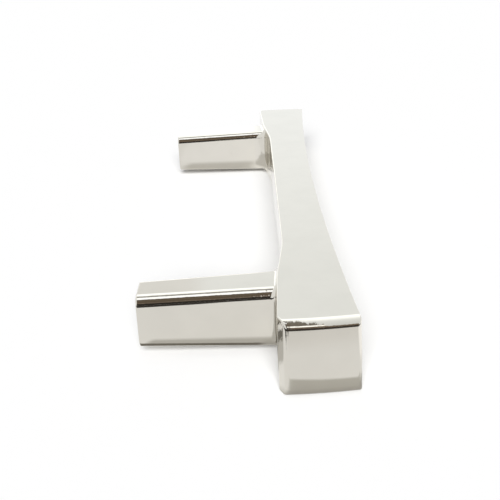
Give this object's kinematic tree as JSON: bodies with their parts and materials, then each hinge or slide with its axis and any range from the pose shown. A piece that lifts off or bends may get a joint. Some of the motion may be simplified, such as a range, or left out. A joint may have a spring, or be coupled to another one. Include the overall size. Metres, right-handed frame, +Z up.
{
  "type": "cabinet pull",
  "caption": "Cast cabinet pull in polished nickel: a square-section bar, waisted at the front and rear, on square tapered posts with tapped holes in their ends.",
  "frame": {"origin": "midway between the two screw holes, on the mounting plane that the ends of the posts share", "axes": "+X along the bar, +Y from the bar into the drawer front, along the posts and their screws, +Z up on a drawer whose pull runs level"},
  "size_m": [0.1308, 0.032, 0.0114],
  "materials": {
    "nickel": "polished nickel plate"
  },
  "bodies": {
    "root": {"pull": "nickel"}
  },
  "joints": []
}
